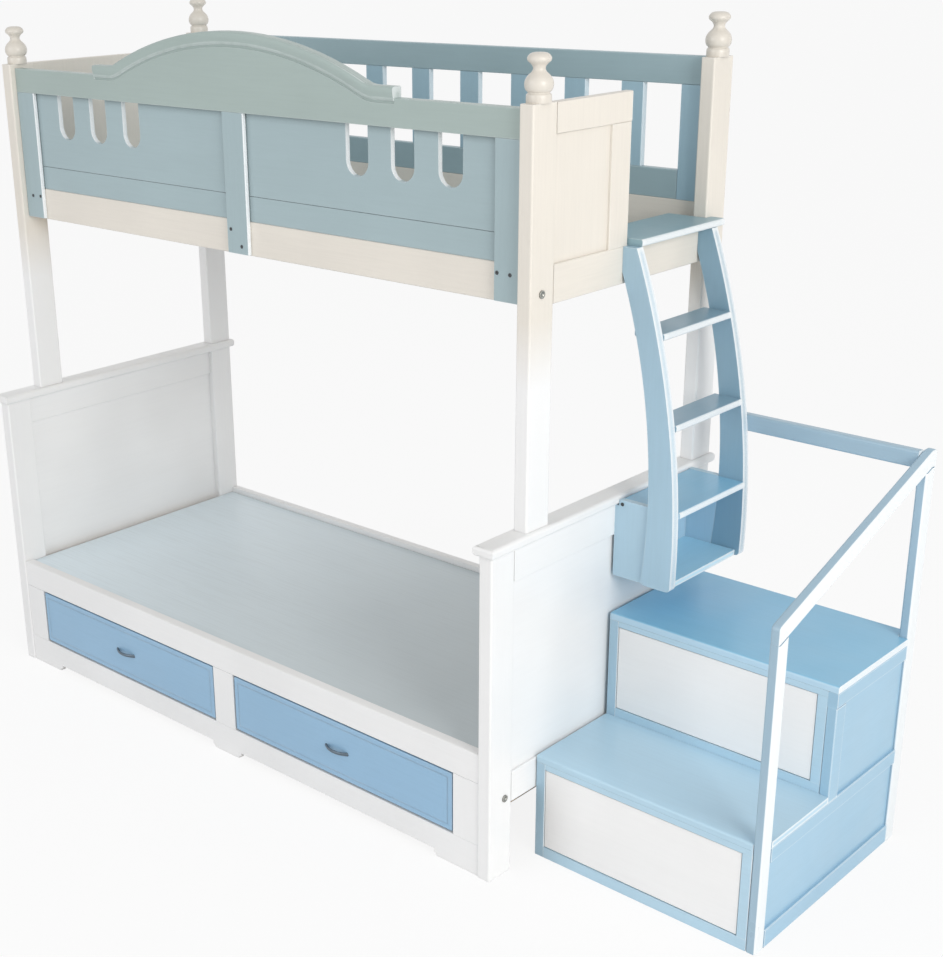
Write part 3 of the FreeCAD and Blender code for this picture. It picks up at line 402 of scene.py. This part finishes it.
def bare_wood(name, light, dark, grain, rings=26.0):
    """Planed pale wood with rings drawn out along the grain, and a dry, matt surface."""
    finish, tree, shader, _ = started(name)
    along = stretched(tree, grain, WOOD_RINGS_DRAWN)
    waves = knot(tree, "TexWave", {"Vector": along, "Scale": rings}, wave_type="BANDS")
    feed(waves.inputs["Distortion"], 7.0)
    feed(waves.inputs["Detail"], 3.0)
    feed(waves.inputs["Detail Scale"], 1.4)
    waves.bands_direction = "DIAGONAL"
    fibres = clouds(tree, stretched(tree, grain, WOOD_FIBRES_DRAWN), *WOOD_FIBRES)
    base = veiled(tree, tint(light), tint(dark), waves.outputs["Fac"], 0.1, 0.95, 0.75)
    base = veiled(tree, base, tint(dark, 0.75), fibres, 0.4, 0.75, 0.35)
    # Painted shade in the inner corners.
    base = corner_shaded(tree, base, tint(dark, 0.4), BOARD_SHADE_REACH, 0.4)
    feed(shader.inputs["Base Color"], base)
    feed(shader.inputs["Roughness"], ranged(tree, fibres, 0.3, 0.7, 0.55, 0.72))
    feed(shader.inputs["Normal"], raised(tree, fibres, *WOOD_BUMP))
    return finish


def laminate(name, left, right, grain):
    """Melamine-faced board: a pale face, greyer to the right as painted shade, with a fine
    pressed grain.
    """
    finish, tree, shader, where = started(name)
    lines = clouds(tree, stretched(tree, grain, BOARD_LINES_DRAWN), *BOARD_LINES)
    patches = clouds(tree, where, *BOARD_PATCHES)
    # Painted shade: greyer towards the right.
    turn = [place(x, 0, 0).x for x in DECK_TURN]
    base = veiled(tree, tint(left), tint(right), along_axis(tree, where, "X"), *turn)
    base = veiled(tree, base, tint(right), patches, 0.3, 0.7, 0.10)
    base = veiled(tree, base, tint(right, 0.8), lines, 0.45, 0.75, 0.18)
    # Painted shade in the inner corners.
    base = corner_shaded(tree, base, tint(right, 0.4), BOARD_SHADE_REACH, 0.30)
    feed(shader.inputs["Base Color"], base)
    gloss = ranged(tree, clouds(tree, where, *BOARD_GLOSS), 0.3, 0.7, 0.3, 0.4)
    feed(shader.inputs["Roughness"], gloss)
    feed(shader.inputs["Normal"], raised(tree, lines, *BOARD_BUMP))
    return finish


def satin_metal(name, colour, grain, rough=0.34):
    """Brushed metal with fine lines along the piece, and a little tarnish and painted shade in
    its corners.
    """
    finish, tree, shader, where = started(name)
    lines = clouds(tree, stretched(tree, grain, METAL_LINES_DRAWN), *METAL_LINES)
    smudge = clouds(tree, where, *METAL_SMUDGE)
    base = veiled(tree, tint(colour), tint(colour, 0.7), smudge, 0.35, 0.65, 0.35)
    base = corner_shaded(tree, base, tint(colour, 0.25), METAL_SHADE_REACH, 0.6)
    feed(shader.inputs["Base Color"], base)
    shader.inputs["Metallic"].default_value = 1.0
    gloss = ranged(tree, lines, 0.3, 0.7, rough - 0.06, rough + 0.08)
    feed(shader.inputs["Roughness"], gloss)
    feed(shader.inputs["Normal"], raised(tree, lines, *METAL_BUMP))
    return finish


# ---- which node gets which finish -------------------------------------------------------------
# For each lacquer: its colour, its settings, and the nodes whose grain runs along each axis.
# Their settings also set painted shade in inner corners and painted highlights on edges.
PAINTED_NODES = {
    "white": (WHITE_PAINT, {"shine": 0.34, "show": 0.45, "rub_and_glint": 0.3, "corner_shade": 0.14}, {
        "x": "lower_back_rail bed_front_top_rail bed_front_bottom_rail"
             " lower_step_drawer_front upper_step_drawer_front",
        "y": "lower_end_left lower_end_right lower_cap_left lower_cap_right",
        "z": "lower_leg_front_left lower_leg_front_right lower_leg_back_left"
             " lower_leg_back_right bed_front_stiles",
    }),
    # The foot colour is painted light: the posts turn whiter below the upper rails.
    "cream": (CREAM_PAINT, {"rub_and_glint": 0.4, "corner_shade": 0.14, "foot": WHITE_PAINT}, {
        "x": "upper_side_rails",
        "y": "upper_end_rails",
        "z": "upper_post_front_left upper_post_front_right upper_post_back_left"
             " upper_post_back_right left_end_guard right_end_guard post_finials",
    }),
    "crown": (CROWN_PAINT, {"shine": 0.40, "rub_and_glint": 0.4, "corner_shade": 0.10, "pale": 0.6}, {
        "x": "front_guard_crown",
    }),
    # Strong painted shade beside the battens, and a painted highlight on the slots' right-facing
    # edges.
    "guard_panel": (
        GUARD_PAINT, {"shine": 0.40, "rub_and_glint": 0.3, "corner_shade": 0.95, "shade_reach": 0.020, "pale": 0.9}, {
            "x": "front_guard_panel front_guard_strip",
        },
    ),
    # A painted highlight on the battens' right sides.
    "batten": (GUARD_PAINT, {"shine": 0.40, "rub_and_glint": 0.3, "corner_shade": 0.0, "pale": 1.0}, {
        "z": "front_guard_battens",
    }),
    "back_rail": (BACK_RAIL_PAINT, {"shine": 0.40, "rub_and_glint": 0.3}, {
        "x": "back_guard_rails",
    }),
    "back_slat": (BACK_SLAT_PAINT, {"shine": 0.40, "rub_and_glint": 0.3, "pale": 0.5}, {
        "z": "back_guard_balusters",
    }),
    "landing": (LANDING_PAINT, {"shine": 0.40, "rub_and_glint": 0.4, "pale": 0.95}, {
        "y": "landing_board",
    }),
    "blue": (BLUE_PAINT, {"rub_and_glint": 0.5, "corner_shade": 0.14, "pale": 0.95}, {
        "x": "stair_back",
        "z": "ladder_stile_front stair_left_side",
    }),
    "side_blue": (
        SIDE_BLUE_PAINT, {"rub_and_glint": 0.15, "corner_shade": 0.10, "pale": 0.6, "reach": 0.005}, {
            "y": "stair_right_side",
        },
    ),
    # Paler forward faces here are a painted highlight.
    "mid_blue": (MID_BLUE_PAINT, {"rub_and_glint": 0.3, "pale": 0.95, "lit_front": 0.35}, {
        "x": "stair_upper_tread",
        "y": "cubby_top",
    }),
    "cubby_wall": (LIT_BLUE_PAINT, {"rub_and_glint": 0.3, "corner_shade": 0.14}, {
        "z": "cubby_walls",
    }),
    "lit_cubby_floor": (
        LIT_CUBBY_FLOOR_PAINT, {"rub_and_glint": 0.3, "corner_shade": 0.05, "pale": 0.95, "reach": 0.010}, {
            "y": "cubby_bottom",
        },
    ),
    "shaded_blue": (SHADED_BLUE_PAINT, {"rub_and_glint": 0.5, "pale": 0.95}, {
        "y": "ladder_treads",
        "z": "ladder_stile_back",
    }),
    "lit_blue": (
        LIT_BLUE_PAINT, {"rub_and_glint": 0.2, "corner_shade": 0.10, "pale": 0.9, "reach": 0.008}, {
            "x": "stair_lower_tread stair_front_frames",
        },
    ),
    # The wide reach pales the rails' whole right faces, as a painted highlight.
    "rail_blue": (
        RAIL_PAINT, {"shine": 0.32, "rub_and_glint": 0.1, "corner_shade": 0.14, "pale": 0.95, "reach": 0.060}, {
            "x": "handrail_back",
            "y": "handrail_slope",
            "z": "handrail_front_post handrail_back_post",
        },
    ),
    "drawer_blue": (DRAWER_PAINT, {"rub_and_glint": 0.6, "corner_shade": 0.30}, {
        "x": "bed_drawer_left_front bed_drawer_right_front",
    }),
}


def cover(piece, finish):
    """Replaces whatever finish a piece came with."""
    piece.data.materials.clear()
    piece.data.materials.append(finish)


def paint_nodes(nodes):
    """Paints the nodes that are lacquered, and returns the finishes by paint and grain."""
    finishes = {}
    for paint, (colour, settings, grains) in PAINTED_NODES.items():
        for grain, names in grains.items():
            title = f"{paint}_lacquer_{grain}"
            finishes[paint, grain] = painted(title, colour, grain, **settings)
            for name in names.split():
                cover(nodes[name], finishes[paint, grain])
    return finishes


def finish_nodes():
    """Gives every piece of the frame its finish."""
    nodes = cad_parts
    finishes = paint_nodes(nodes)
    finishes["pull"] = satin_metal("pull_satin_metal", PULL_METAL, "x")
    bearer = bare_wood("bearer_pine", PINE_LIGHT, PINE_DARK, "y")
    endings = {
        "_deck": laminate("deck_board", DECK_LIT_LEFT, DECK_SHADED_RIGHT, "x"),
        "deck_supports": bearer,
        "drawer_runners": bearer,
        "_box": bare_wood("drawer_plywood", PLY_LIGHT, PLY_DARK, "x", 12.0),
        "_pull": finishes["pull"],
    }
    for name, piece in nodes.items():
        for ending, finish in endings.items():
            if name.endswith(ending):
                cover(piece, finish)
    return finishes


def ease_edges(piece):
    """Joins a node's loose faces and takes the sharpness off its square edges."""
    for polygon in piece.data.polygons:
        polygon.use_smooth = True
    weld = piece.modifiers.new("joined_faces", "WELD")
    weld.merge_threshold = NODE_WELD
    flat = piece.modifiers.new("flat_faces", "DECIMATE")
    flat.decimate_type = "DISSOLVE"
    flat.angle_limit = NODE_FLAT
    edge = piece.modifiers.new("eased_edges", "BEVEL")
    edge.width = NODE_EASE
    edge.segments = 2
    edge.limit_method = "ANGLE"
    edge.angle_limit = NODE_CORNER
    edge.use_clamp_overlap = True
    part = piece.modifiers.new("parted_faces", "EDGE_SPLIT")
    part.split_angle = NODE_CREASE
    even = piece.modifiers.new("even_shading", "WEIGHTED_NORMAL")
    even.keep_sharp = True
    even.weight = SHADING_WEIGHT


# ---- new pieces -------------------------------------------------------------------------------
def standing(name, shape, finish):
    """A new object from a bmesh, in the scene."""
    mesh = bpy.data.meshes.new(name)
    shape.to_mesh(mesh)
    shape.free()
    mesh.materials.append(finish)
    piece = bpy.data.objects.new(name, mesh)
    bpy.context.scene.collection.objects.link(piece)
    return piece


def shown(name, shape, finish, body):
    """A smoothly shaded piece that moves with its body."""
    piece = standing(name, shape, finish)
    for polygon in piece.data.polygons:
        polygon.use_smooth = True
    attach(piece, body)
    return piece


def merge(shape, other):
    """Adds one bmesh to another."""
    mesh = bpy.data.meshes.new("spare")
    other.to_mesh(mesh)
    other.free()
    shape.from_mesh(mesh)
    bpy.data.meshes.remove(mesh)


def closed_up(shape):
    """Joins a bmesh where its parts meet, and turns its faces outwards."""
    bmesh.ops.remove_doubles(shape, verts=shape.verts, dist=SAME_SPOT)
    bmesh.ops.recalc_face_normals(shape, faces=shape.faces)


def only(kind, parts):
    """The vertices, edges or faces among the parts of a bmesh result."""
    return [part for part in parts if isinstance(part, kind)]


def turned(shape, profile, foot, steps):
    """Spins a profile of radii and heights in millimetres round an upright line at a foot."""
    rail = [shape.verts.new(foot + Vector((r / 1000, 0, h / 1000))) for r, h in profile]
    edges = [shape.edges.new(pair) for pair in zip(rail, rail[1:])]
    bmesh.ops.spin(
        shape, geom=rail + edges, cent=foot, axis=(0, 0, 1), angle=math.tau,
        steps=steps, use_merge=True, use_duplicate=False,
    )


def post_top(end):
    """The middle of an upper post's top."""
    low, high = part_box(f"upper_post_{end}")
    return Vector(((low.x + high.x) / 2, (low.y + high.y) / 2, high.z))


def turn_finials(finish):
    """The four turned finials, finer than the solids they stand for."""
    shape = bmesh.new()
    for end in FINIAL_POSTS:
        turned(shape, FINIAL_PROFILE, post_top(end), FINIAL_STEPS)
    closed_up(shape)
    piece = shown("turned_finials", shape, finish, "bed_frame")
    smooth = piece.modifiers.new("smooth_turning", "SUBSURF")
    smooth.levels = smooth.render_levels = 1
    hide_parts("post_finials")


def hex_reach(turn, flat):
    """Distance from a hexagon's middle to its side in one direction."""
    sixth = math.pi / 3
    return flat / math.cos((turn + sixth / 2) % sixth - sixth / 2)


def head(radius, tall, flat):
    """A low round head with an eased rim and a hexagon socket, facing up."""
    shape = bmesh.new()
    disc = bmesh.ops.create_circle(shape, cap_ends=True, radius=radius, segments=HEAD_SIDES)
    under = disc["verts"][0].link_faces[0]
    lifted = bmesh.ops.extrude_face_region(shape, geom=[under])["geom"]
    top = only(bmesh.types.BMFace, lifted)[0]
    bmesh.ops.translate(shape, verts=only(bmesh.types.BMVert, lifted), vec=(0, 0, tall))
    bmesh.ops.inset_region(shape, faces=[top], thickness=tall * HEAD_RIM, depth=0)
    for vert in top.verts:
        vert.co.z += tall * HEAD_LIFT
    bmesh.ops.inset_region(shape, faces=[top], thickness=radius * HEAD_LIP, depth=0)
    for vert in top.verts:
        reach = hex_reach(math.atan2(vert.co.y, vert.co.x), flat)
        vert.co.xy = vert.co.xy.normalized() * reach
    sunk = bmesh.ops.extrude_face_region(shape, geom=[top])["geom"]
    down = (0, 0, -tall * HEAD_SOCKET)
    bmesh.ops.translate(shape, verts=only(bmesh.types.BMVert, sunk), vec=down)
    bmesh.ops.delete(shape, geom=[top], context="FACES_ONLY")
    return shape


def fit_heads(name, seats, sizes, finish):
    """Heads of one size, each at a seat and facing its way."""
    shape = bmesh.new()
    for seat, way in seats:
        one = head(*sizes)
        turn = Vector((0, 0, 1)).rotation_difference(Vector(way)).to_matrix().to_4x4()
        bmesh.ops.transform(one, matrix=Matrix.Translation(seat) @ turn, verts=one.verts)
        merge(shape, one)
    bmesh.ops.recalc_face_normals(shape, faces=shape.faces)
    shown(name, shape, finish, "bed_frame")


def fit_bolts():
    """The bolts that draw the side rails to the posts and the drawer frame to the legs."""
    seats = [(place(end * BED_LENGTH, y, z), (1 if end else -1, 0, 0)) for end, y, z in BOLTS]
    dull = satin_metal("bolt_dull_metal", BOLT_METAL, "z", 0.42)
    fit_heads("frame_bolts", seats, BOLT_HEAD, dull)


def fit_screws():
    """The screws through the guard's battens and the cubby's cheek."""
    spots = [(x, BATTEN_FACE, z) for x, z in BATTEN_SCREWS] + [CUBBY_SCREW]
    seats = [(place(*spot), (0, -1, 0)) for spot in spots]
    dark = satin_metal("screw_dark_metal", SCREW_METAL, "z", 0.45)
    fit_heads("guard_screws", seats, SCREW_HEAD, dark)


def sweep_on(shape, last, middle, turn, steps):
    """Carries a strip's last ring round an upright-plane arc, and returns the new last ring."""
    swept = bmesh.ops.spin(
        shape, geom=last, cent=middle, axis=(0, 1, 0), angle=turn, steps=steps,
        use_merge=False, use_duplicate=False,
    )
    return only((bmesh.types.BMVert, bmesh.types.BMEdge), swept["geom_last"])


def push_on(shape, last, way):
    """Carries a strip's last ring straight on, and returns the new last ring."""
    moved = bmesh.ops.extrude_edge_only(shape, edges=only(bmesh.types.BMEdge, last))
    fresh = only((bmesh.types.BMVert, bmesh.types.BMEdge), moved["geom"])
    bmesh.ops.translate(shape, verts=only(bmesh.types.BMVert, fresh), vec=way)
    return fresh


def run_moulding(finish):
    """A rounded moulding along the crown's edge: flat, hollow, arch, hollow and flat again."""
    middle = BED_LENGTH / 2
    shoulder = GUARD_TOP + CROWN_STEP
    arch_z = GUARD_TOP + CROWN_RISE - CROWN_RADIUS
    hollow_z = shoulder + CROWN_HOLLOW
    hollow_x = math.sqrt((CROWN_RADIUS + CROWN_HOLLOW) ** 2 - (hollow_z - arch_z) ** 2)
    lean = math.atan2(hollow_x, hollow_z - arch_z)
    shape = bmesh.new()
    ring = [
        shape.verts.new(place(middle + CROWN_HALF, BATTEN_FACE - proud, shoulder - down))
        for down, proud in MOULD_SECTION
    ]
    start = [shape.edges.new(pair) for pair in zip(ring, ring[1:] + ring[:1])]
    flat = Vector(((hollow_x - CROWN_HALF) / 1000, 0, 0))
    right, left = [place(middle + side * hollow_x, BATTEN_FACE, hollow_z) for side in (1, -1)]
    last = push_on(shape, ring + start, flat)
    last = sweep_on(shape, last, right, lean, HOLLOW_STEPS)
    last = sweep_on(shape, last, place(middle, BATTEN_FACE, arch_z), -2 * lean, ARCH_STEPS)
    last = sweep_on(shape, last, left, lean, HOLLOW_STEPS)
    last = push_on(shape, last, flat)
    for ends in (start, only(bmesh.types.BMEdge, last)):
        bmesh.ops.contextual_create(shape, geom=ends)
    closed_up(shape)
    piece = shown("crown_moulding", shape, finish, "bed_frame")
    edge = piece.modifiers.new("sharp_ends", "EDGE_SPLIT")
    edge.split_angle = STRIP_CREASE


def block_between(low, high):
    """A bmesh block between two corners."""
    shape = bmesh.new()
    bmesh.ops.create_cube(shape, size=1.0)
    bmesh.ops.scale(shape, vec=high - low, verts=shape.verts)
    bmesh.ops.translate(shape, vec=(low + high) / 2, verts=shape.verts)
    return shape


def rout_drawer_front(side, finish):
    """A bed drawer's front with eased edges and a fine line routed round its face."""
    node = f"bed_drawer_{side}_front"
    low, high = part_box(node)
    shy = Vector((FRONT_SHY, 0, FRONT_SHY))
    shape = block_between(low + shy, high - shy)
    bmesh.ops.bevel(
        shape, geom=shape.edges[:], offset=FRONT_EASE, segments=3, profile=0.5, affect="EDGES",
        material=-1,
    )
    face = max((f for f in shape.faces if f.normal.y < -0.99), key=lambda f: f.calc_area())
    for wide, deep in ROUTED_LINE:
        bmesh.ops.inset_region(
            shape, faces=[face], thickness=wide, depth=deep, use_even_offset=True,
        )
    body = f"bed_drawer_{side}"
    piece = shown(f"routed_front_{side}", shape, finish, body)
    even = piece.modifiers.new("even_shading", "WEIGHTED_NORMAL")
    even.weight = SHADING_WEIGHT
    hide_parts(node)


def bow_bar(seat):
    """A rounded bar bent in a level arc between the two ends of a pull."""
    radius = (BOW_HALF ** 2 + BOW_REACH ** 2) / (2 * BOW_REACH)
    swing = math.asin(BOW_HALF / radius)
    middle = seat + Vector((0, radius - BOW_REACH, 0))
    shape = bmesh.new()
    ring = bmesh.ops.create_circle(shape, radius=BOW_BAR, segments=BOW_SIDES)["verts"]
    bmesh.ops.scale(shape, vec=(1.0, BOW_TALL, 1.0), verts=ring)
    lean = Matrix.Rotation(-swing, 4, "Z")
    start = Matrix.Translation(middle) @ lean @ Matrix.Translation((0, -radius, 0))
    upright = Matrix.Rotation(math.pi / 2, 4, "Y") @ Matrix.Rotation(math.pi / 2, 4, "Z")
    bmesh.ops.transform(shape, matrix=start @ upright, verts=ring)
    bmesh.ops.spin(
        shape, geom=list(shape.verts) + list(shape.edges), cent=middle, axis=(0, 0, 1),
        angle=2 * swing, steps=BOW_STEPS, use_merge=False, use_duplicate=False,
    )
    return shape


def bow_foot(seat, hand):
    """A small round foot under one end of a pull."""
    spot = seat + Vector((hand * (BOW_HALF - BOW_FOOT_IN), BOW_FOOT_SUNK, 0))
    shape = bmesh.new()
    turned(shape, BOW_FOOT, Vector((0, 0, 0)), BOW_FOOT_STEPS)
    forward = Matrix.Rotation(math.pi / 2, 4, "X")
    bmesh.ops.transform(shape, matrix=Matrix.Translation(spot) @ forward, verts=shape.verts)
    return shape


def bend_pull(side, finish):
    """A bow handle of rounded bar, with a small round foot at each end."""
    node = f"bed_drawer_{side}_pull"
    low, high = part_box(node)
    seat = Vector(((low.x + high.x) / 2, high.y, (low.z + high.z) / 2))
    shape = bow_bar(seat)
    for hand in (-1, 1):
        merge(shape, bow_foot(seat, hand))
    closed_up(shape)
    piece = shown(f"bow_pull_{side}", shape, finish, f"bed_drawer_{side}")
    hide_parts(node)


# ---- floor, light and camera ------------------------------------------------------------------
def eye_rays(tree):
    """One for what the camera sees, straight or by a reflection, and nought for lighting."""
    seen = knot(tree, "LightPath")
    share = seen.outputs["Is Camera Ray"]
    for kind in ("Is Glossy Ray", "Is Transmission Ray"):
        either = knot(tree, "Math", {0: share, 1: seen.outputs[kind]}, operation="MAXIMUM")
        share = either.outputs[0]
    return share


def floor_finish():
    """Matt pale grey to the light, and nearly plain white to the camera."""
    finish, tree, shader, _ = started("studio_floor")
    shader.inputs["Base Color"].default_value = (FLOOR_GREY, FLOOR_GREY, FLOOR_GREY, 1)
    shader.inputs["Roughness"].default_value = 0.9
    shader.inputs["Specular IOR Level"].default_value = 0.1
    glow = knot(tree, "Emission", {"Color": (1, 1, 1, 1), "Strength": 1.0})
    share = times(tree, eye_rays(tree), FLOOR_GLOW)
    both = knot(tree, "MixShader", {0: share, 1: shader.outputs[0], 2: glow.outputs[0]})
    feed(tree.nodes["Material Output"].inputs["Surface"], both.outputs[0])
    return finish


def lay_floor():
    """A plain pale floor that reads as the photograph's white ground and keeps the shadow."""
    shape = bmesh.new()
    bmesh.ops.create_grid(shape, x_segments=1, y_segments=1, size=FLOOR_HALF)
    standing("studio_floor", shape, floor_finish())


def light_world():
    """Even studio light from all round, and a white ground for the camera."""
    world = bpy.data.worlds.new("studio")
    bpy.context.scene.world = world
    world.use_nodes = True
    tree = world.node_tree
    back = tree.nodes["Background"]
    feed(back.inputs["Color"], (1, 1, 1, 1))
    feed(back.inputs["Strength"], ranged(tree, eye_rays(tree), 0.0, 1.0, WORLD_LIGHT, 1.0))


def hang_lamp(name, spot, aim, size, power, colour):
    """A soft square lamp that looks at a point."""
    lamp = bpy.data.lights.new(name, "AREA")
    lamp.size = size
    lamp.energy = power
    lamp.color = colour
    thing = bpy.data.objects.new(name, lamp)
    thing.location = spot
    thing.rotation_euler = (Vector(aim) - Vector(spot)).to_track_quat("-Z", "Y").to_euler()
    bpy.context.scene.collection.objects.link(thing)


def set_camera():
    """The photograph's view: a long lens whose axis is left of and below the middle."""
    lens = bpy.data.cameras.new("photo_camera")
    lens.sensor_width = SENSOR_WIDE
    longest = max(PHOTO_WIDE, PHOTO_HIGH)
    lens.lens = FOCAL_PIXELS * SENSOR_WIDE / longest
    lens.shift_x = (PHOTO_WIDE / 2 - AXIS_PIXEL[0]) / longest
    lens.shift_y = (AXIS_PIXEL[1] - PHOTO_HIGH / 2) / longest
    lens.clip_end = FARTHEST
    eye = bpy.data.objects.new("photo_camera", lens)
    turn = Matrix.Rotation(EYE_TURN, 4, "Z")
    dip = Matrix.Rotation(math.pi / 2 - EYE_DIP, 4, "X")
    roll = Matrix.Rotation(EYE_ROLL, 4, "Z")
    eye.matrix_world = Matrix.Translation(place(*EYE)) @ turn @ dip @ roll
    bpy.context.scene.collection.objects.link(eye)
    bpy.context.scene.camera = eye


# ---- the whole scene --------------------------------------------------------------------------
finishes = finish_nodes()
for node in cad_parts.values():
    ease_edges(node)
turn_finials(painted("finial_shaded_lacquer", SHADED_FINIAL_PAINT, "z", rub_and_glint=0.4, corner_shade=0.14))
run_moulding(finishes["crown", "x"])
for side in ("left", "right"):
    rout_drawer_front(side, finishes["drawer_blue", "x"])
    bend_pull(side, finishes["pull"])
fit_bolts()
fit_screws()

lay_floor()
light_world()
for lamp in LAMPS:
    hang_lamp(*lamp)
set_camera()
bpy.context.scene.view_settings.view_transform = "Standard"
